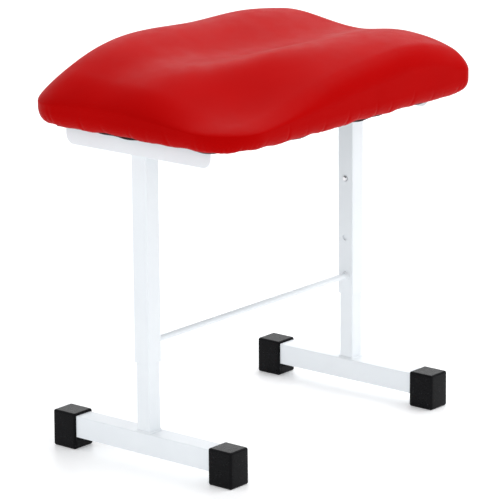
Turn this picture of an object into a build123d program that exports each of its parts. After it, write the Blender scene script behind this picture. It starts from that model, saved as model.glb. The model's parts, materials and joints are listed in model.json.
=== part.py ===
from build123d import *
import os

# Kneeling massage chair: a contoured pad on two telescopic T-legs joined by a crossbar.
# Millimetres. +Z up, X runs from leg to leg, Y along the foot bars, and the origin is on
# the floor under the middle of the pad. Left is -X and front is -Y.

# ---------------------------------------------------------------- driving dimensions
leg_spacing = 510          # centre to centre of the two legs
sides = {"left": -1, "right": 1}
ends = {"front": -1, "rear": 1}

tube_wall = 1.5            # every square tube
tube_corner = 2.0          # outside corner radius of every square tube
outer_side = 30            # outer upright tube
inner_side = 26            # inner upright tube, slides in the outer one
bar_side = 35              # foot bar
bar_length = 358
cap_wall = 4               # rubber round the foot bar's end and sides
cap_depth = 46             # along the foot bar
cap_sole = 20              # rubber under the foot bar
cap_edge = 3.5

bar_top = cap_sole + bar_side
outer_bottom = 166
inner_top = 400
rail_top = 525             # underside of the pad
rail_leg = 30              # both legs of the angle
rail_thickness = 3
rail_length = 290
rail_corner = 15           # rounded lower corners of the upright leg
rail_edge = 0.8

crossbar_diameter = 10
crossbar_height = 197
hole_diameter = 10         # height holes, on the inboard face of the outer tube
button_height = 362        # height of the hole that the button stands in
hole_step = 100            # next hole is this much lower
button_diameter = 8.8
button_hole_diameter = 9.4
button_proud = 2.6
button_flange_diameter = 10.8
button_flange = 1.0
clip_thickness = 0.8
clip_width = 9
bead = 2.5                 # leg length of the weld beads

dust_thickness = 1.0
cover_thickness = 1.5
board_thickness = 15
board_size = (570, 390, 58)        # length, width, corner radius
dust_size = (556, 376, 52)
hem_opening = (524, 344, 36)
pad_size = (610, 430)
pad_corners = {(-1, -1): 78, (-1, 1): 74, (1, -1): 30, (1, 1): 62}     # radius by sides of X and Y
pad_lower_roll = 18        # radius where the wall turns under the board
pad_upper_roll = 12        # radius where the wall turns into the top

bolt_diameter = 6          # M6
bolt_hole_diameter = 6.5
bolt_length = 20
bolt_head = 4
bolt_flats = 10
washer_diameter = 12
washer_thickness = 1.5
bolt_inset = 17            # bolt line to the rail's outer face
bolt_pitch = 220           # between the two bolts of a rail
nut_flange_diameter = 18
nut_flange = 1.2
nut_barrel_diameter = 8
nut_barrel = 9

staple_crown = 10
staple_leg = 7
staple_wire = 0.7
staple_inset = 4           # from the dust cover's edge

# Height of the pad's top above the rails, front to rear, at five places along its length.
# The front left and rear right corners are low, and two soft lobes run from leg to leg.
crown_y = (-222, -150, -70, 30, 150, 222)
crown = {
    -312: (30, 36, 50, 60, 52, 34),
    -190: (40, 54, 80, 90, 101, 76),
    0: (70, 92, 100, 89, 111, 88),
    190: (82, 100, 98, 90, 109, 84),
    312: (46, 74, 82, 84, 88, 54),
}

outboard_face = leg_spacing / 2 + outer_side / 2
rail_face = outboard_face + rail_thickness
bolt_line = rail_face - bolt_inset
bolt_places = [(sign * bolt_line, end * bolt_pitch / 2) for sign in (-1, 1) for end in (-1, 1)]
cover_bottom = rail_top + dust_thickness
board_bottom = cover_bottom + cover_thickness
board_top = board_bottom + board_thickness
washer_top = rail_top - rail_thickness
head_top = washer_top - washer_thickness

os.makedirs("parts", exist_ok=True)


def write(piece, name):
    """Label a finished piece and write its file."""
    piece.part.label = name
    export_step(piece.part, f"parts/{name}.step")


def square_ring(side):
    """Section of a square tube, drawn in the sketch that is open."""
    RectangleRounded(side, side, tube_corner)
    opening = side - 2 * tube_wall
    RectangleRounded(opening, opening, tube_corner - tube_wall / 2, mode=Mode.SUBTRACT)


def upright_plane(sign, height):
    """Level plane centred on a leg."""
    return Plane(origin=(sign * leg_spacing / 2, 0, height))


def facing_plane(sign, height):
    """Plane on a leg's axis at a height, looking at the other leg."""
    return Plane(origin=(sign * leg_spacing / 2, 0, height), x_dir=(0, 1, 0), z_dir=(-sign, 0, 0))


# ---------------------------------------------------------------- feet
def foot_bar(sign):
    """Square tube along Y that carries one leg."""
    section = Plane(origin=(sign * leg_spacing / 2, 0, bar_top - bar_side / 2),
                    x_dir=(1, 0, 0), z_dir=(0, 1, 0))
    with BuildPart() as bar:
        with BuildSketch(section):
            square_ring(bar_side)
        extrude(amount=bar_length / 2, both=True)
    return bar


def foot_cap(sign, end):
    """Rubber boot over one end of a foot bar, with a thick sole."""
    width = bar_side + 2 * cap_wall
    outer_end = bar_length / 2 + cap_wall
    middle = end * (outer_end - cap_depth / 2)
    mouth = Plane(origin=(sign * leg_spacing / 2, end * (outer_end - cap_depth),
                          bar_top - bar_side / 2), x_dir=(1, 0, 0), z_dir=(0, end, 0))
    with BuildPart() as cap:
        with BuildSketch(Plane(origin=(sign * leg_spacing / 2, middle, 0))):
            Rectangle(width, cap_depth)
        extrude(amount=bar_top + cap_wall)
        fillet(cap.edges().filter_by(Axis.Z), cap_edge)
        fillet(cap.edges().group_by(Axis.Z)[-1], cap_edge - 0.5)
        chamfer(cap.edges().group_by(Axis.Z)[0], cap_edge / 3)
        with BuildSketch(mouth):
            RectangleRounded(bar_side, bar_side, tube_corner)
        extrude(amount=cap_depth - cap_wall, mode=Mode.SUBTRACT)
    return cap


def inner_tube(sign):
    """Inner upright, with one hole for the snap button."""
    with BuildPart() as tube:
        with BuildSketch(upright_plane(sign, bar_top)):
            square_ring(inner_side)
        extrude(amount=inner_top - bar_top)
        with BuildSketch(facing_plane(sign, button_height)):
            Circle(button_hole_diameter / 2)
        extrude(amount=inner_side, mode=Mode.SUBTRACT)
    return tube


def foot_weld(sign):
    """Bead round the foot of the inner upright."""
    with BuildPart() as weld:
        with BuildSketch(upright_plane(sign, bar_top)):
            RectangleRounded(inner_side + 2 * bead, inner_side + 2 * bead, tube_corner + bead)
        with BuildSketch(upright_plane(sign, bar_top + bead)):
            RectangleRounded(inner_side + 0.6, inner_side + 0.6, tube_corner + 0.3)
        loft()
        with BuildSketch(upright_plane(sign, bar_top)):
            RectangleRounded(inner_side, inner_side, tube_corner)
        extrude(amount=bead, mode=Mode.SUBTRACT)
    return weld


# ---------------------------------------------------------------- height lock
flange_face = inner_side / 2 - tube_wall - 0.3      # from the leg's axis
clip_face = flange_face - button_flange


def snap_button(sign):
    """Domed button with a flange that stops it behind the inner tube's wall."""
    radius = button_diameter / 2
    tip = outer_side / 2 + button_proud
    with BuildPart() as button:
        with BuildSketch(facing_plane(sign, button_height).offset(clip_face)):
            Circle(radius)
        extrude(amount=tip - clip_face)
        fillet(button.edges().filter_by(GeomType.CIRCLE).sort_by(Axis.X)[0 if sign > 0 else -1],
               button_proud - 0.1)
        with BuildSketch(facing_plane(sign, button_height).offset(clip_face)):
            Circle(button_flange_diameter / 2)
        extrude(amount=button_flange)
    return button


def button_spring(sign):
    """Folded flat spring: one leg behind the button, the other on the tube's far wall."""
    side_view = Plane(origin=(sign * leg_spacing / 2, 0, button_height),
                      x_dir=(-sign, 0, 0), z_dir=(0, sign, 0))
    near = clip_face - clip_thickness / 2
    far = -inner_side / 2 + tube_wall + clip_thickness
    with BuildPart() as spring:
        with BuildSketch(side_view):
            with BuildLine() as path:
                FilletPolyline((near, 8), (near, -16), (2.6, -60), (-2.6, -60), (far, -14),
                               radius=2.5)
            trace(path.line, clip_thickness)
        extrude(amount=clip_width / 2, both=True)
    return spring


# ---------------------------------------------------------------- upper frame
def outer_tube(sign):
    """Outer upright with the two height holes in its inboard face."""
    with BuildPart() as tube:
        with BuildSketch(upright_plane(sign, outer_bottom)):
            square_ring(outer_side)
        extrude(amount=rail_top - rail_thickness - outer_bottom)
        for height in (button_height, button_height - hole_step):
            with BuildSketch(facing_plane(sign, height)):
                Circle(hole_diameter / 2)
            extrude(amount=outer_side, mode=Mode.SUBTRACT)
    return tube


def rail(sign):
    """Angle along the top of a leg, upright leg outboard, bolted under the board."""
    section = Plane(origin=(0, 0, rail_top), x_dir=(sign, 0, 0), z_dir=(0, -sign, 0))
    with BuildPart() as angle:
        with BuildSketch(section):
            with BuildLine():
                Polyline((rail_face, 0), (rail_face, -rail_leg),
                         (rail_face - rail_thickness, -rail_leg),
                         (rail_face - rail_thickness, -rail_thickness),
                         (rail_face - rail_leg, -rail_thickness),
                         (rail_face - rail_leg, 0), close=True)
            make_face()
        extrude(amount=rail_length / 2, both=True)
        fillet(angle.edges().filter_by(Axis.X).group_by(Axis.Z)[0], rail_corner)
        levels = angle.edges().filter_by(Axis.Y).group_by(Axis.Z)
        fillet(levels[0] + levels[-1], rail_edge)
        with BuildSketch(Plane.XY.offset(rail_top)):
            with Locations(*[place for place in bolt_places if place[0] * sign > 0]):
                Circle(bolt_hole_diameter / 2)
        extrude(amount=-rail_thickness, mode=Mode.SUBTRACT)
    return angle


with BuildPart() as crossbar:
    with BuildSketch(Plane.YZ):
        with Locations((0, crossbar_height)):
            Circle(crossbar_diameter / 2)
    extrude(amount=(leg_spacing - outer_side) / 2, both=True)

with BuildPart() as frame_welds:
    for sign in sides.values():
        # cone round the crossbar's end
        with BuildSketch(facing_plane(sign, crossbar_height).offset(outer_side / 2)):
            Circle(crossbar_diameter / 2 + bead)
            Circle(crossbar_diameter / 2, mode=Mode.SUBTRACT)
        extrude(amount=bead, taper=30)
        # two upright beads where the outer tube meets the rail
        with BuildSketch(Plane.XY.offset(rail_top - rail_leg)):
            with BuildLine():
                corner = (sign * outboard_face, outer_side / 2)
                Polyline(corner, (corner[0], corner[1] + bead), (corner[0] - sign * bead, corner[1]),
                         close=True)
            make_face()
            mirror(about=Plane.XZ)
        extrude(amount=rail_leg - rail_thickness)

# ---------------------------------------------------------------- pad
def pad_outline(inset):
    """Level outline of the pad, drawn in by an inset, each corner with its own radius."""
    length, width = (size - 2 * inset for size in pad_size)
    with BuildSketch() as outline:
        Rectangle(length, width)
        for (x_side, y_side), radius in pad_corners.items():
            corner = outline.vertices().sort_by_distance((x_side * length / 2, y_side * width / 2))[0]
            fillet(corner, radius - inset)
    return outline


def pad_block(inset, bottom):
    """The pad's outer shape, drawn in by an inset, standing on the bottom height."""
    with BuildPart() as block:
        for x, heights in crown.items():
            with BuildSketch(Plane.YZ.offset(x)):
                with BuildLine():
                    top = Spline(*[(y, rail_top + h - inset) for y, h in zip(crown_y, heights)])
                    Polyline(top @ 1, (crown_y[-1], bottom), (crown_y[0], bottom), top @ 0)
                make_face()
        loft()
        with BuildSketch(Plane.XY.offset(bottom)):
            add(pad_outline(inset).sketch)
        extrude(amount=2 * max(crown[0]), mode=Mode.INTERSECT)
        fillet(block.faces().sort_by(Axis.Z)[0].edges(), pad_lower_roll - inset)
        fillet(block.faces().sort_by(Axis.Z)[-1].edges(), pad_upper_roll - inset)
    return block


outer_block = pad_block(0, cover_bottom)
inner_block = pad_block(cover_thickness, board_bottom)

with BuildPart() as pad_cover:
    add(outer_block.part)
    add(inner_block.part, mode=Mode.SUBTRACT)
    with BuildSketch(Plane.XY.offset(cover_bottom)):
        RectangleRounded(*hem_opening)
    extrude(amount=cover_thickness, mode=Mode.SUBTRACT)

with BuildPart() as pad_foam:
    add(inner_block.part)
    with BuildSketch(Plane.XY.offset(board_bottom)):
        RectangleRounded(*board_size)
    extrude(amount=board_thickness, mode=Mode.SUBTRACT)
    with BuildSketch(Plane.XY.offset(board_top)):
        with Locations(*bolt_places):
            Circle(nut_flange_diameter / 2)
    extrude(amount=nut_flange, mode=Mode.SUBTRACT)

with BuildPart() as base_board:
    with BuildSketch(Plane.XY.offset(board_bottom)):
        RectangleRounded(*board_size)
        with Locations(*bolt_places):
            Circle(nut_barrel_diameter / 2, mode=Mode.SUBTRACT)
    extrude(amount=board_thickness)

with BuildPart() as dust_cover:
    with BuildSketch(Plane.XY.offset(rail_top)):
        RectangleRounded(*dust_size)
        with Locations(*bolt_places):
            Circle(bolt_hole_diameter / 2, mode=Mode.SUBTRACT)
    extrude(amount=dust_thickness)

with BuildPart() as tee_nuts:
    with BuildSketch(Plane.XY.offset(board_top)):
        with Locations(*bolt_places):
            Circle(nut_flange_diameter / 2)
    extrude(amount=nut_flange)
    with BuildSketch(Plane.XY.offset(board_top)):
        with Locations(*bolt_places):
            Circle(nut_barrel_diameter / 2)
    extrude(amount=-nut_barrel)
    with BuildSketch(Plane.XY.offset(board_top + nut_flange)):
        with Locations(*bolt_places):
            Circle(bolt_diameter / 2)
    extrude(amount=-nut_flange - nut_barrel, mode=Mode.SUBTRACT)

with BuildPart() as rail_washers:
    with BuildSketch(Plane.XY.offset(head_top)):
        with Locations(*bolt_places):
            Circle(washer_diameter / 2)
            Circle(bolt_hole_diameter / 2, mode=Mode.SUBTRACT)
    extrude(amount=washer_thickness)

with BuildPart() as rail_bolts:
    with BuildSketch(Plane.XY.offset(head_top)):
        with Locations(*bolt_places):
            RegularPolygon(bolt_flats / 2, 6, major_radius=False)
    extrude(amount=-bolt_head)
    with BuildSketch(Plane.XY.offset(head_top)):
        with Locations(*bolt_places):
            Circle(bolt_diameter / 2)
    extrude(amount=bolt_length)

with BuildPart() as hem_staples:
    long_side = dust_size[1] / 2 - staple_inset
    short_side = dust_size[0] / 2 - staple_inset
    for turn, spots in ((0, GridLocations(50, 2 * long_side, 9, 2).locations),
                        (90, GridLocations(2 * short_side, 40, 2, 6).locations)):
        places = [Location(spot.position, (0, 0, turn)) for spot in spots]
        with BuildSketch(Plane.XY.offset(rail_top)):
            with Locations(*places):
                Rectangle(staple_crown, staple_wire)
        extrude(amount=-staple_wire)
        with BuildSketch(Plane.XY.offset(rail_top)):
            with Locations(*places):
                with GridLocations(staple_crown - staple_wire, 0, 2, 1):
                    Rectangle(staple_wire, staple_wire)
        extrude(amount=staple_leg)

# ---------------------------------------------------------------- write every piece
for side, sign in sides.items():
    write(foot_bar(sign), f"{side}_foot_bar")
    write(foot_weld(sign), f"{side}_foot_weld")
    write(inner_tube(sign), f"{side}_inner_tube")
    write(outer_tube(sign), f"{side}_outer_tube")
    write(rail(sign), f"{side}_rail")
    write(snap_button(sign), f"{side}_snap_button")
    write(button_spring(sign), f"{side}_button_spring")
    for end, direction in ends.items():
        write(foot_cap(sign, direction), f"{side}_{end}_cap")

for name, piece in (("crossbar", crossbar), ("frame_welds", frame_welds), ("pad_cover", pad_cover),
                    ("pad_foam", pad_foam), ("base_board", base_board), ("dust_cover", dust_cover),
                    ("tee_nuts", tee_nuts), ("rail_washers", rail_washers),
                    ("rail_bolts", rail_bolts), ("hem_staples", hem_staples)):
    write(piece, name)
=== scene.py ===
"""Kneeling massage chair: contoured vinyl pad on two telescopic T-legs, in a plain white studio."""
import json
import math

import bmesh
import bpy
import numpy as np
from mathutils import Matrix, Vector


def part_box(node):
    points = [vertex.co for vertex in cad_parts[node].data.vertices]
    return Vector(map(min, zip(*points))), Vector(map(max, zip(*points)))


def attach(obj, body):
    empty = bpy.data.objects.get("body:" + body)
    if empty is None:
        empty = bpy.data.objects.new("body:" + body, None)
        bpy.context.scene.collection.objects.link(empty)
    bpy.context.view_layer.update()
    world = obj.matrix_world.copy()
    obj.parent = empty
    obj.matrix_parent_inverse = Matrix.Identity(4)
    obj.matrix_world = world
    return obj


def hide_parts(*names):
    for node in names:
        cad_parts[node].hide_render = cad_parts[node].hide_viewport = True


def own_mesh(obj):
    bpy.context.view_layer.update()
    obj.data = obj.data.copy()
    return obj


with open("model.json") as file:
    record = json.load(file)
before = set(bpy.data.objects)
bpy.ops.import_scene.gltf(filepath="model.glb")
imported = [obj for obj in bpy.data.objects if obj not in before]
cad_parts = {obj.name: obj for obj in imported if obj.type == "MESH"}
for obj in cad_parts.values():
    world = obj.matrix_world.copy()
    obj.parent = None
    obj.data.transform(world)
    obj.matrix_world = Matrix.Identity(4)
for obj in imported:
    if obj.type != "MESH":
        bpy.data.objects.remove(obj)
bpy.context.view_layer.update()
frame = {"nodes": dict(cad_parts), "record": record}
MM = 0.001
SEED = 11

# ------------------------------------------------------------------ frame facts
pad_low, pad_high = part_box("pad_cover")
board_low, board_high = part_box("base_board")
dust_low, dust_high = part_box("dust_cover")
rail_low, rail_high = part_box("right_rail")
bar_low, bar_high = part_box("crossbar")
PAD_HALF = (pad_high.x, pad_high.y)
PAD_BASE = pad_low.z
SIDES = {"left": -1, "right": 1}
ENDS = {"front": -1, "rear": 1}

# ------------------------------------------------------------------ pad shape
# Height of the top above the pad's underside, in mm, at crossings of these lines.
# Rows run along +X and each row runs from front to rear.
CROWN_X = (-305, -190, -60, 60, 190, 305)
CROWN_Y = (-215, -150, -80, -20, 60, 150, 215)
CROWN = (
    (30, 34, 46, 58, 60, 50, 26),
    (40, 52, 76, 88, 91, 100, 73),
    (68, 86, 103, 90, 91, 113, 95),
    (82, 99, 103, 87, 92, 108, 92),
    (86, 100, 101, 89, 96, 108, 90),
    (48, 76, 84, 82, 89, 91, 60),
)
PAD_CORNERS = {(-1, -1): 78 * MM, (-1, 1): 74 * MM, (1, -1): 30 * MM, (1, 1): 62 * MM}
ROLL_IN = 19 * MM           # where the wall turns under the board
ROLL_UP = 22 * MM
SHOULDER = 50 * MM          # where the wall turns into the top
FRONT_SHOULDER = 30 * MM    # it is tighter along the front
SHOULDER_SHARE = 0.62       # most of the wall's height that the shoulder takes
HEM_DEPTH = 40 * MM
HEM_SHARES = (1.0, 0.75, 0.5, 0.25, 0.1)    # rings of the turned-under hem, from its edge out
HEM_RINGS = len(HEM_SHARES)
FOAM_GAP = 0.4 * MM         # between the cover and the foam
LIP = 2.2 * MM              # the stuffed edge hangs this far under the board
SKIN = 1.3 * MM
BOARD_CORNER = 58 * MM
LINING_CORNER = 54 * MM
LINING_SPARE = 4 * MM       # the lining is this much wider than its CAD plate, each side
AROUND = 960                # points round the pad
ROLL_STEPS = 12             # rings of points round the lower roll
WALL_STEPS = 14             # up the wall
TOP_STEPS = 60              # over the top
LAST_SHRINK = 0.985         # how far in the last ring of the top lies
CORNER_REACH = 60 * MM      # the gathers crowd this close to a corner


# ------------------------------------------------------------------ maths
def spline_weights(knots, at):
    """Share of each knot of a natural cubic spline at each place."""
    k = np.asarray(knots, float)
    count = len(k)
    h = np.diff(k)
    left = np.eye(count)
    right = np.zeros((count, count))
    for i in range(1, count - 1):
        left[i, i - 1:i + 2] = h[i - 1], 2 * (h[i - 1] + h[i]), h[i]
        right[i, i - 1:i + 2] = 6 / h[i - 1], -6 / h[i - 1] - 6 / h[i], 6 / h[i]
    bend = np.linalg.solve(left, right)
    at = np.clip(at, k[0], k[-1])
    j = np.clip(np.searchsorted(k, at) - 1, 0, count - 2)
    after, before, gap = k[j + 1] - at, at - k[j], h[j][:, None]
    after, before = after[:, None], before[:, None]
    unit = np.eye(count)
    low = bend[j] * after ** 3 / (6 * gap) + (unit[j] / gap - bend[j] * gap / 6) * after
    high = bend[j + 1] * before ** 3 / (6 * gap) + (unit[j + 1] / gap - bend[j + 1] * gap / 6) * before
    return low + high


def crown_height(x, y):
    """Height of the pad's top above its underside, before the shoulder rounds it."""
    across = spline_weights(CROWN_X, x / MM)
    along = spline_weights(CROWN_Y, y / MM)
    return np.einsum("ni,ij,nj->n", across, np.array(CROWN, float), along) * MM


def inward(x, y, half, corners):
    """Distance inward from a rounded rectangle whose four corners have their own radii."""
    radius = np.where(x < 0, np.where(y < 0, corners[-1, -1], corners[-1, 1]),
                      np.where(y < 0, corners[1, -1], corners[1, 1]))
    qx = np.abs(x) - half[0] + radius
    qy = np.abs(y) - half[1] + radius
    outside = np.hypot(np.maximum(qx, 0), np.maximum(qy, 0))
    return radius - outside - np.minimum(np.maximum(qx, qy), 0)


def outline(half, corners, count):
    """Points and outward normals evenly round a rounded rectangle, and the way along it."""
    angle = np.linspace(0, 2 * math.pi, 8 * count, endpoint=False)
    dx, dy = np.cos(angle), np.sin(angle)
    low, high = np.zeros_like(dx), np.full_like(dx, sum(half))
    for _ in range(36):
        middle = (low + high) / 2
        inside = inward(dx * middle, dy * middle, half, corners) > 0
        low, high = np.where(inside, middle, low), np.where(inside, high, middle)
    loop = np.stack([dx * low, dy * low], 1)
    step = np.linalg.norm(np.roll(loop, -1, 0) - loop, axis=1)
    way = np.concatenate([[0], np.cumsum(step)])
    closed = np.vstack([loop, loop[:1]])
    wanted = np.linspace(0, way[-1], count, endpoint=False)
    points = np.stack([np.interp(wanted, way, closed[:, i]) for i in (0, 1)], 1)
    tangent = np.roll(points, -1, 0) - np.roll(points, 1, 0)
    normal = np.stack([tangent[:, 1], -tangent[:, 0]], 1)
    normal /= np.linalg.norm(normal, axis=1)[:, None]
    return points, normal, wanted


def smooth(t):
    t = np.clip(t, 0, 1)
    return t * t * (3 - 2 * t)


# ------------------------------------------------------------------ mesh helpers
def new_piece(name, vertices, faces, material, body, replaced=()):
    """A smooth-shaded mesh that rides on a body and stands for the replaced nodes."""
    mesh = bpy.data.meshes.new(name)
    mesh.from_pydata([tuple(v) for v in vertices], [], faces)
    mesh.validate()
    return finish_piece(name, mesh, material, body, replaced)


def finish_piece(name, mesh, material, body, replaced=()):
    mesh.materials.append(material)
    mesh.polygons.foreach_set("use_smooth", [True] * len(mesh.polygons))
    piece = bpy.data.objects.new(name, mesh)
    bpy.context.scene.collection.objects.link(piece)
    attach(piece, body)
    if replaced:
        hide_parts(*replaced)
    return piece


def ring_faces(count, rings, cap_first=False, cap_last=False):
    """Quads between rings of the same number of points, and a fan-free cap on either end."""
    faces = []
    for ring in range(rings - 1):
        for i in range(count):
            j = (i + 1) % count
            a, b = ring * count, (ring + 1) * count
            faces.append((a + i, a + j, b + j, b + i))
    if cap_first:
        faces.append(tuple(reversed(range(count))))
    if cap_last:
        faces.append(tuple((rings - 1) * count + i for i in range(count)))
    return faces


def add_modifier(piece, kind, **settings):
    modifier = piece.modifiers.new(kind.title(), kind)
    for key, value in settings.items():
        setattr(modifier, key, value)
    return modifier


# ------------------------------------------------------------------ materials
class Paint:
    """A Principled material with its nodes, in object coordinates."""

    def __init__(self, name, color, roughness, **sockets):
        self.material = bpy.data.materials.new(name)
        self.material.use_nodes = True
        self.tree = self.material.node_tree
        self.shader = self.tree.nodes["Principled BSDF"]
        self.shader.inputs["Base Color"].default_value = (*color, 1)
        self.shader.inputs["Roughness"].default_value = roughness
        for socket, value in sockets.items():
            self.shader.inputs[socket.replace("_", " ")].default_value = value
        self.place = self.node("ShaderNodeTexCoord").outputs["Object"]

    def node(self, kind, **settings):
        made = self.tree.nodes.new(kind)
        for key, value in settings.items():
            setattr(made, key, value)
        return made

    def link(self, output, target):
        self.tree.links.new(output, target)

    def stretched(self, scale):
        """Object coordinates scaled by a different amount along each axis."""
        mapping = self.node("ShaderNodeMapping")
        mapping.inputs["Scale"].default_value = scale
        self.link(self.place, mapping.inputs["Vector"])
        return mapping.outputs["Vector"]

    def noise(self, scale, detail=3, roughness=0.5, place=None):
        made = self.node("ShaderNodeTexNoise")
        made.inputs["Scale"].default_value = scale
        made.inputs["Detail"].default_value = detail
        made.inputs["Roughness"].default_value = roughness
        self.link(place or self.place, made.inputs["Vector"])
        return made.outputs["Fac"]

    def cells(self, scale, randomness=1.0, feature="F1", place=None):
        made = self.node("ShaderNodeTexVoronoi", feature=feature)
        made.inputs["Scale"].default_value = scale
        made.inputs["Randomness"].default_value = randomness
        self.link(place or self.place, made.inputs["Vector"])
        return made.outputs["Distance"]

    def ranged(self, value, low, high, start=0.0, end=1.0):
        made = self.node("ShaderNodeMapRange")
        for socket, number in (("From Min", start), ("From Max", end), ("To Min", low), ("To Max", high)):
            made.inputs[socket].default_value = number
        self.link(value, made.inputs["Value"])
        return made.outputs["Result"]

    def maths(self, operation, a, b):
        made = self.node("ShaderNodeMath", operation=operation)
        for socket, value in zip(made.inputs, (a, b)):
            if isinstance(value, (int, float)):
                socket.default_value = value
            else:
                self.link(value, socket)
        return made.outputs["Value"]

    def colours(self, value, first, second, start=0.3, end=0.7):
        ramp = self.node("ShaderNodeValToRGB")
        ramp.color_ramp.elements[0].position = start
        ramp.color_ramp.elements[0].color = (*first, 1)
        ramp.color_ramp.elements[1].position = end
        ramp.color_ramp.elements[1].color = (*second, 1)
        self.link(value, ramp.inputs["Fac"])
        self.link(ramp.outputs["Color"], self.shader.inputs["Base Color"])

    def rough(self, value, low, high):
        self.link(self.ranged(value, low, high, 0.3, 0.7), self.shader.inputs["Roughness"])

    def bump(self, height, distance, strength=1.0):
        made = self.node("ShaderNodeBump")
        made.inputs["Distance"].default_value = distance
        made.inputs["Strength"].default_value = strength
        self.link(height, made.inputs["Height"])
        self.link(made.outputs["Normal"], self.shader.inputs["Normal"])


def red_vinyl():
    """Soft upholstery vinyl: fine pebble grain, a satin skin and a faint cloudiness."""
    paint = Paint("red_vinyl", (0.41, 0.0004, 0.0004), 0.42, Specular_IOR_Level=0.015)
    clouds = paint.noise(9, 4)
    paint.colours(clouds, (0.395, 0.0003, 0.0003), (0.43, 0.0008, 0.0008))
    paint.rough(paint.noise(38, 4), 0.38, 0.47)
    pebbles = paint.ranged(paint.cells(780, 0.9, "SMOOTH_F1"), 1, 0, 0.1, 0.7)
    pores = paint.noise(2100, 2)
    grain = paint.maths("ADD", pebbles, paint.maths("MULTIPLY", pores, 0.35))
    paint.bump(grain, 0.11 * MM, 0.55)
    return paint.material


def white_powder_coat():
    """White powder coat: cool white, semi-gloss, with orange peel."""
    paint = Paint("white_powder_coat", (0.83, 0.865, 0.895), 0.34, Specular_IOR_Level=0.45)
    paint.colours(paint.noise(14, 3), (0.815, 0.850, 0.880), (0.842, 0.876, 0.903))
    paint.rough(paint.noise(60, 3), 0.28, 0.40)
    peel = paint.maths("ADD", paint.noise(420, 2), paint.maths("MULTIPLY", paint.noise(1500, 1), 0.3))
    paint.bump(peel, 0.09 * MM, 0.45)
    return paint.material


def black_rubber():
    """Moulded rubber: fine matt texture, a little dusty in patches."""
    paint = Paint("black_rubber", (0.002, 0.002, 0.003), 0.26, Specular_IOR_Level=0.08)
    paint.colours(paint.noise(55, 6, 0.65), (0.0015, 0.0015, 0.002), (0.004, 0.004, 0.005))
    paint.rough(paint.noise(120, 5), 0.20, 0.30)
    texture = paint.maths("ADD", paint.noise(1300, 3), paint.maths("MULTIPLY", paint.noise(260, 2), 0.5))
    paint.bump(texture, 0.10 * MM, 0.6)
    return paint.material


def metal(name, color, low, high, streaks):
    """Bare or plated steel with streaks along one axis."""
    paint = Paint(name, color, (low + high) / 2, Metallic=1.0)
    lines = paint.noise(1, 5, 0.6, paint.stretched(streaks))
    paint.rough(lines, low, high)
    paint.colours(paint.noise(90, 3), tuple(c * 0.92 for c in color), color)
    paint.bump(lines, 0.03 * MM, 0.4)
    return paint.material


def plywood():
    """Birch plywood: grain on the faces and dark glue lines between the plies."""
    paint = Paint("plywood", (0.62, 0.46, 0.29), 0.62, Specular_IOR_Level=0.3)
    grain = paint.noise(1, 6, 0.6, paint.stretched((14, 260, 260)))
    ply = paint.node("ShaderNodeTexWave", wave_type="BANDS", bands_direction="Z")
    ply.inputs["Scale"].default_value = 110
    ply.inputs["Distortion"].default_value = 0.6
    paint.link(paint.place, ply.inputs["Vector"])
    mixed = paint.maths("ADD", paint.maths("MULTIPLY", grain, 0.75),
                        paint.maths("MULTIPLY", ply.outputs["Fac"], 0.25))
    paint.colours(mixed, (0.40, 0.26, 0.14), (0.70, 0.54, 0.36), 0.25, 0.75)
    paint.bump(grain, 0.12 * MM, 0.5)
    return paint.material


def open_foam():
    """Open-cell polyurethane foam, with painted shade in the pits of its cells."""
    paint = Paint("foam", (0.86, 0.80, 0.62), 0.95, Specular_IOR_Level=0.1)
    cell = paint.cells(620)
    # the pits of the cells are painted darker than their rims: painted shade in the pores
    paint.colours(cell, (0.60, 0.53, 0.36), (0.88, 0.82, 0.64), 0.05, 0.5)
    paint.bump(cell, 0.6 * MM, 0.8)
    return paint.material


def black_spunbond():
    """Black non-woven lining: a lattice of bonded dimples over tangled fibres."""
    paint = Paint("black_spunbond", (0.012, 0.012, 0.012), 0.9, Specular_IOR_Level=0.2,
                  Sheen_Weight=0.25, Sheen_Roughness=0.6)
    dimples = paint.ranged(paint.cells(560, 0.05), 0, 1, 0.1, 0.55)
    fibres = paint.noise(2400, 4, 0.7)
    paint.colours(fibres, (0.006, 0.006, 0.006), (0.026, 0.026, 0.027))
    paint.bump(paint.maths("ADD", dimples, paint.maths("MULTIPLY", fibres, 0.5)), 0.12 * MM, 0.9)
    return paint.material


PAINTS = {
    "red_vinyl": red_vinyl(),
    "foam": open_foam(),
    "plywood": plywood(),
    "black_spunbond": black_spunbond(),
    "white_powder_coat": white_powder_coat(),
    "black_rubber": black_rubber(),
    "bright_steel": metal("bright_steel", (0.74, 0.74, 0.75), 0.10, 0.22, (900, 120, 120)),
    "spring_steel": metal("spring_steel", (0.36, 0.37, 0.40), 0.25, 0.45, (300, 300, 40)),
    "zinc_plate": metal("zinc_plate", (0.60, 0.62, 0.64), 0.25, 0.42, (220, 220, 220)),
}

for subpart in frame["record"]["subparts"]:
    cad_mesh = frame["nodes"][subpart["node"]].data
    cad_mesh.materials.clear()
    cad_mesh.materials.append(PAINTS[subpart["material_slot"]])


# ------------------------------------------------------------------ pad
def shoulder(distance, height, y):
    """How far the shoulder lowers the top at a distance in from the wall, and its full drop."""
    reach = SHOULDER + (FRONT_SHOULDER - SHOULDER) * smooth((-y - 120 * MM) / (70 * MM))
    full = np.minimum(reach, SHOULDER_SHARE * (height - ROLL_UP))
    t = np.clip(1 - distance / reach, 0, 1)
    return full * (1 - np.sqrt(np.maximum(1 - t * t, 0))), full


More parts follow.
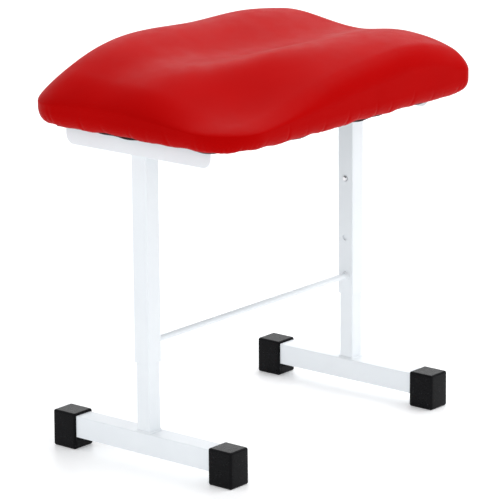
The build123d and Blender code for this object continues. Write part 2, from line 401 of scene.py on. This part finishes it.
def gathers(length, corner_ways):
    """Puckers of the stretched vinyl: place, width, depth, height and lean of each."""
    random = np.random.default_rng(SEED)
    found = []
    place = 0.0
    while place < length:
        near = min(abs((place - c + length / 2) % length - length / 2) for c in corner_ways)
        crowded = near < CORNER_REACH
        found.append((place, random.uniform(1.6, 3.4) * MM,
                      random.uniform(0.7, 1.8) * MM * (1.25 if crowded else 1.0),
                      random.uniform(10, 42) * MM, random.uniform(-0.25, 0.25)))
        place += random.uniform(9, 20) * MM if crowded else random.uniform(14, 58) * MM
    return found


def pucker_depth(puckers, way, length, height):
    """How deep the puckers are all round at a height above the underside."""
    depth = np.zeros(AROUND)
    for place, width, amount, reach, lean in puckers:
        away = (way - place - lean * height + length / 2) % length - length / 2
        depth += amount * np.exp(-(away / width) ** 2) * (1 - smooth(height / reach))
    return depth


def hem_scallops(way):
    """How far the lower edge is drawn up between its staples."""
    scallop = (0.9 + 0.9 * np.sin(way / (21 * MM)) + 0.9 * np.sin(way / (8.7 * MM) + 1.3)
               + 0.8 * np.sin(way / (47 * MM) + 0.4)) * MM
    return np.maximum(scallop, 0)


def pad_rings(inset):
    """Rings of points from the hem, round the roll, up the wall and over the top."""
    half = (PAD_HALF[0] - inset, PAD_HALF[1] - inset)
    corners = {key: radius - inset for key, radius in PAD_CORNERS.items()}
    loop, normal, way = outline(half, corners, AROUND)
    length = way[-1] + way[1]
    edge_height = crown_height(loop[:, 0], loop[:, 1]) - 2 * inset
    _, full = shoulder(np.zeros(AROUND), edge_height, loop[:, 1])
    corner_ways = [way[np.argmax(loop @ np.array(corner))] for corner in PAD_CORNERS]
    puckers = gathers(length, corner_ways)
    base = PAD_BASE + inset

    rings = []

    def ring(offset, z):
        flat = loop - normal * np.broadcast_to(offset, AROUND)[:, None]
        rings.append(np.column_stack([flat, np.broadcast_to(z, AROUND)]))

    # only the cover itself is gathered: the foam inside it is smooth
    outermost = inset == 0
    lift = hem_scallops(way) - LIP if outermost else 0
    for share in HEM_SHARES:
        ring(ROLL_IN + (HEM_DEPTH - ROLL_IN) * share, base + lift * smooth(1.5 - 2 * share))
    for angle in np.linspace(math.pi / 2, 0, ROLL_STEPS):
        height = ROLL_UP * (1 - math.sin(angle))
        sink = pucker_depth(puckers, way, length, height) if outermost else 0
        ring(ROLL_IN * (1 - math.cos(angle)) + sink, base + height + lift * (1 - height / ROLL_UP))
    for share in np.linspace(0, 1, WALL_STEPS)[1:]:
        height = ROLL_UP + (edge_height - full - ROLL_UP) * share
        sink = pucker_depth(puckers, way, length, height) if outermost else 0
        ring(sink, base + height)
    for step in range(1, TOP_STEPS):
        shrink = 1 - LAST_SHRINK * (step / (TOP_STEPS - 1)) ** 2
        flat = loop * shrink
        height = crown_height(flat[:, 0], flat[:, 1]) - 2 * inset
        drop, _ = shoulder(inward(flat[:, 0], flat[:, 1], half, corners), height, flat[:, 1])
        rings.append(np.column_stack([flat, base + height - drop]))
    return rings


def make_cover():
    """The red vinyl cover, turned under the board's edge."""
    rings = pad_rings(0)
    faces = ring_faces(AROUND, len(rings), cap_last=True)
    cover = new_piece("vinyl_cover", np.vstack(rings), faces, PAINTS["red_vinyl"],
                      "upper_frame", ["pad_cover"])
    add_modifier(cover, "SOLIDIFY", thickness=SKIN, offset=-1)
    return cover


def make_foam():
    """The foam: the cover's shape less its thickness, hollowed for the board."""
    rings = pad_rings(SKIN + FOAM_GAP)[HEM_RINGS:]
    board_half = (board_high.x, board_high.y)
    corners = {key: BOARD_CORNER for key in PAD_CORNERS}
    loop, _, _ = outline(board_half, corners, AROUND)
    under = np.column_stack([loop * 0.997, np.full(AROUND, board_low.z + 0.3 * MM)])
    above = under + np.array([0, 0, board_high.z - board_low.z])
    rings = [above, under] + rings
    faces = ring_faces(AROUND, len(rings), cap_first=True, cap_last=True)
    foam = new_piece("foam_core", np.vstack(rings), faces, PAINTS["foam"],
                     "upper_frame", ["pad_foam"])
    return foam


def make_lining():
    """The black lining under the board, stapled round its edge and slack in the middle."""
    half = (dust_high.x + LINING_SPARE, dust_high.y + LINING_SPARE)
    corners = {key: LINING_CORNER for key in PAD_CORNERS}
    count = 480
    loop, _, way = outline(half, corners, count)
    level = (dust_low.z + dust_high.z) / 2
    # the lining hangs free of the hem here and there between its staples
    droop = (2.6 + 1.3 * np.sin(way / (27 * MM)) + 0.8 * np.sin(way / (7.9 * MM) + 2.0)) * MM
    rings = []
    for step in np.linspace(0, 1, 60) ** 1.3:
        flat = loop * (1 - 0.98 * step)
        distance = inward(flat[:, 0], flat[:, 1], half, corners)
        side = np.abs(flat[:, 0])
        between = smooth((rail_low.x - 8 * MM - side) / (60 * MM))
        beyond = smooth((side - rail_high.x - 1 * MM) / (4 * MM))
        sag = 2.4 * MM * smooth(distance / (120 * MM)) * between
        edge = np.exp(-distance / (12 * MM)) * np.maximum(smooth(4 * between), beyond)
        rings.append(np.column_stack([flat, level - sag - droop * edge]))
    faces = ring_faces(count, len(rings), cap_last=True)
    faces = [tuple(reversed(face)) for face in faces]
    lining = new_piece("black_lining", np.vstack(rings), faces, PAINTS["black_spunbond"],
                       "upper_frame", ["dust_cover"])
    add_modifier(lining, "SOLIDIFY", thickness=0.7 * MM, offset=0)
    return lining


# ------------------------------------------------------------------ weld beads
def bead_mesh(strips):
    """Rippled fillet welds. A strip is its root line, the way out, the way up and closedness."""
    vertices, faces = [], []
    sections = 7
    ripple_pitch = 1.5 * MM
    for roots, outs, ups, leg, closed in strips:
        start = len(vertices)
        roots, outs, ups = (np.asarray(a, float) for a in (roots, outs, ups))
        step = np.linalg.norm(np.diff(roots, axis=0), axis=1)
        way = np.concatenate([[0], np.cumsum(step)])
        for root, out, up, place in zip(roots, outs, ups, way):
            swell = 1 + 0.13 * abs(math.sin(math.pi * place / ripple_pitch)) - 0.06
            vertices.append(root)
            for angle in np.linspace(0, math.pi / 2, sections):
                section = out * math.cos(angle) ** 1.4 + up * math.sin(angle) ** 1.4
                vertices.append(root + leg * swell * section)
        ring = sections + 1
        count = len(roots)
        for i in range(count if closed else count - 1):
            a, b = start + i * ring, start + ((i + 1) % count) * ring
            for k in range(ring):
                m = (k + 1) % ring
                faces.append((a + k, b + k, b + m, a + m))
        if not closed:
            faces.append(tuple(start + k for k in range(ring)))
            faces.append(tuple(start + (count - 1) * ring + k for k in reversed(range(ring))))
    mesh = bpy.data.meshes.new("bead")
    mesh.from_pydata([tuple(v) for v in vertices], [], faces)
    work = bmesh.new()
    work.from_mesh(mesh)
    bmesh.ops.recalc_face_normals(work, faces=work.faces)
    work.to_mesh(mesh)
    work.free()
    return mesh


def foot_weld(side):
    """Bead round the foot of an inner upright."""
    low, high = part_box(f"{side}_inner_tube")
    bead_low, bead_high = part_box(f"{side}_foot_weld")
    half = (high.x - low.x) / 2
    centre = (low.x + high.x) / 2
    corners = {key: 2 * MM for key in PAD_CORNERS}
    loop, normal, _ = outline((half, half), corners, 220)
    roots = np.column_stack([loop[:, 0] + centre, loop[:, 1], np.full(len(loop), low.z)])
    outs = np.column_stack([normal, np.zeros(len(loop))])
    ups = np.tile([0, 0, 1], (len(loop), 1))
    mesh = bead_mesh([(roots, outs, ups, bead_high.z - bead_low.z, True)])
    finish_piece(f"{side}_foot_bead", mesh, PAINTS["white_powder_coat"], f"{side}_foot",
                 [f"{side}_foot_weld"])


def frame_welds():
    """Beads round the crossbar's ends and up both sides of each outer tube, on the rail."""
    leg = 2.4 * MM
    radius = (bar_high.z - bar_low.z) / 2
    middle = (bar_high.z + bar_low.z) / 2
    angle = np.linspace(0, 2 * math.pi, 120, endpoint=False)
    around = np.column_stack([np.zeros(120), np.cos(angle), np.sin(angle)])
    strips = []
    for side, sign in SIDES.items():
        face = bar_high.x * sign
        roots = around * radius + np.array([face, 0, middle])
        strips.append((roots, around, np.tile([-sign, 0, 0], (120, 1)), leg, True))
        low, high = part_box(f"{side}_outer_tube")
        outer = high.x if sign > 0 else low.x
        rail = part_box(f"{side}_rail")
        heights = np.linspace(rail[0].z + 0.5 * MM, high.z - 0.5 * MM, 90)
        for end in ENDS.values():
            roots = np.column_stack([np.full(90, outer), np.full(90, end * high.y), heights])
            outs = np.tile([0, end, 0], (90, 1))
            ups = np.tile([-sign, 0, 0], (90, 1))
            strips.append((roots, outs, ups, leg, False))
    finish_piece("frame_beads", bead_mesh(strips), PAINTS["white_powder_coat"], "upper_frame",
                 ["frame_welds"])


# ------------------------------------------------------------------ rubber caps
def rounded_box(half, radius, fine=5, coarse=8):
    """Mesh of a box with round edges: fine cells over the edges and coarse ones between."""
    def marks(size):
        edge = radius / size
        rim = [1 - edge * (1 - math.tan(i * math.pi / 4 / fine)) for i in range(fine + 1)]
        flat = list(np.linspace(-(1 - edge), 1 - edge, coarse))
        return [-r for r in reversed(rim)] + flat[1:-1] + rim

    work = bmesh.new()
    for axis in range(3):
        u, v = (axis + 1) % 3, (axis + 2) % 3
        for sign in (-1, 1):
            grid = []
            for a in marks(half[u]):
                row = []
                for b in marks(half[v]):
                    point = [0.0, 0.0, 0.0]
                    point[axis], point[u], point[v] = sign * half[axis], a * half[u], b * half[v]
                    core = [max(-h + radius, min(h - radius, p)) for p, h in zip(point, half)]
                    away = Vector(point) - Vector(core)
                    row.append(work.verts.new(Vector(core) + away.normalized() * radius))
                grid.append(row)
            for i in range(len(grid) - 1):
                for j in range(len(grid[0]) - 1):
                    work.faces.new((grid[i][j], grid[i + 1][j], grid[i + 1][j + 1], grid[i][j + 1]))
    bmesh.ops.remove_doubles(work, verts=work.verts, dist=0.01 * MM)
    bmesh.ops.recalc_face_normals(work, faces=work.faces)
    return work


def foot_cap(side, end):
    """Moulded boot: soft edges, a little draft, and a lip round the foot bar."""
    node = f"{side}_{end}_cap"
    low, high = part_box(node)
    tube_low, tube_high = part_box(f"{side}_foot_bar")
    half = [(high[i] - low[i]) / 2 for i in range(3)]
    centre = (low + high) / 2
    work = rounded_box(half, 3.6 * MM)
    mouth = -ENDS[end]
    hole = (tube_high.x - tube_low.x) / 2
    hole_middle = (tube_low.z + tube_high.z) / 2 - centre.z
    lip = [f for f in work.faces if f.normal.y * mouth > 0.99
           and abs(f.calc_center_median().x) < hole
           and abs(f.calc_center_median().z - hole_middle) < hole]
    bmesh.ops.inset_region(work, faces=lip, thickness=0.5 * MM, depth=0.0)
    bmesh.ops.translate(work, vec=(0, -mouth * 1.6 * MM, 0),
                        verts=list({v for f in lip for v in f.verts}))
    for vertex in work.verts:
        rise = (vertex.co.z + half[2]) / (2 * half[2])
        pillow = (1 - (vertex.co.x / half[0]) ** 2) * (1 - (vertex.co.z / half[2]) ** 2)
        vertex.co.x *= 1 - 0.014 * rise
        if vertex.co.y * -mouth > half[1] * 0.97:
            vertex.co.y -= mouth * 0.35 * MM * pillow
        vertex.co += centre
    mesh = bpy.data.meshes.new(node)
    work.to_mesh(mesh)
    work.free()
    finish_piece(f"{node}_rubber", mesh, PAINTS["black_rubber"], f"{side}_foot", [node])


# ------------------------------------------------------------------ button springs
def button_spring(side):
    """Folded spring behind a snap button, copied from its node onto the foot."""
    node = f"{side}_button_spring"
    spring = bpy.data.objects.new(f"{side}_folded_spring", frame["nodes"][node].data.copy())
    bpy.context.scene.collection.objects.link(spring)
    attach(spring, f"{side}_foot")
    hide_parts(node)
    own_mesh(spring)


make_cover()
make_foam()
make_lining()
frame_welds()
for side_name in SIDES:
    foot_weld(side_name)
    button_spring(side_name)
    for end_name in ENDS:
        foot_cap(side_name, end_name)


# ------------------------------------------------------------------ studio
def make_floor():
    """A plain pale floor, larger than the view."""
    size = 30
    mesh = bpy.data.meshes.new("floor")
    corners = [(-size, -size, 0), (size, -size, 0), (size, size, 0), (-size, size, 0)]
    mesh.from_pydata(corners, [], [(0, 1, 2, 3)])
    paint = Paint("studio_floor", (0.93, 0.93, 0.93), 0.35, Specular_IOR_Level=0.15,
                  Emission_Color=(1, 1, 1, 1), Emission_Strength=0.18)
    mesh.materials.append(paint.material)
    floor = bpy.data.objects.new("floor", mesh)
    bpy.context.scene.collection.objects.link(floor)


def make_world():
    """Soft white surroundings, a little brighter where the camera sees them than in the light they give.
    """
    world = bpy.data.worlds.new("studio")
    bpy.context.scene.world = world
    world.use_nodes = True
    nodes, links = world.node_tree.nodes, world.node_tree.links
    nodes.clear()
    output = nodes.new("ShaderNodeOutputWorld")
    seen, light = nodes.new("ShaderNodeBackground"), nodes.new("ShaderNodeBackground")
    seen.inputs["Strength"].default_value = 1.1
    light.inputs["Strength"].default_value = 0.96
    mixed, path = nodes.new("ShaderNodeMixShader"), nodes.new("ShaderNodeLightPath")
    links.new(path.outputs["Is Camera Ray"], mixed.inputs[0])
    links.new(light.outputs[0], mixed.inputs[1])
    links.new(seen.outputs[0], mixed.inputs[2])
    links.new(mixed.outputs[0], output.inputs["Surface"])
    seen.inputs["Color"].default_value = (1, 1, 1, 1)
    light.inputs["Color"].default_value = (0.97, 0.985, 1, 1)


def area_light(name, place, target, size, power):
    data = bpy.data.lights.new(name, "AREA")
    data.shape = "SQUARE"
    data.size = size
    data.energy = power
    lamp = bpy.data.objects.new(name, data)
    lamp.location = place
    lamp.rotation_mode = "QUATERNION"
    lamp.rotation_quaternion = (Vector(target) - Vector(place)).to_track_quat("-Z", "Y")
    bpy.context.scene.collection.objects.link(lamp)


def make_camera():
    """Long lens, looking from the front left and a little above."""
    azimuth, elevation, roll = (math.radians(a) for a in (-50.38, 14.84, -0.46))
    distance = 5.41
    target = Vector((0.0131, 0.0156, 0.2856))
    back = Vector((math.sin(azimuth) * math.cos(elevation), -math.cos(azimuth) * math.cos(elevation),
                   math.sin(elevation)))
    level = Vector((math.cos(azimuth), math.sin(azimuth), 0))
    upright = back.cross(level)
    right = level * math.cos(roll) + upright * math.sin(roll)
    up = upright * math.cos(roll) - level * math.sin(roll)
    data = bpy.data.cameras.new("camera")
    data.lens = 243.94
    data.sensor_width = 36
    camera = bpy.data.objects.new("camera", data)
    turn = Matrix((right, up, back)).transposed().to_4x4()
    camera.matrix_world = Matrix.Translation(target + back * distance) @ turn
    bpy.context.scene.collection.objects.link(camera)
    bpy.context.scene.camera = camera


make_floor()
make_world()
area_light("key", (1.6, -0.6, 3.4), (0, 0, 0.4), 2.4, 50)
area_light("front", (0.6, -4.2, 1.6), (0, 0, 0.35), 2.2, 11)
area_light("back", (2.7, 2.2, 2.5), (0, 0, 0.5), 2.6, 27)
make_camera()
bpy.context.scene.view_settings.view_transform = "Standard"
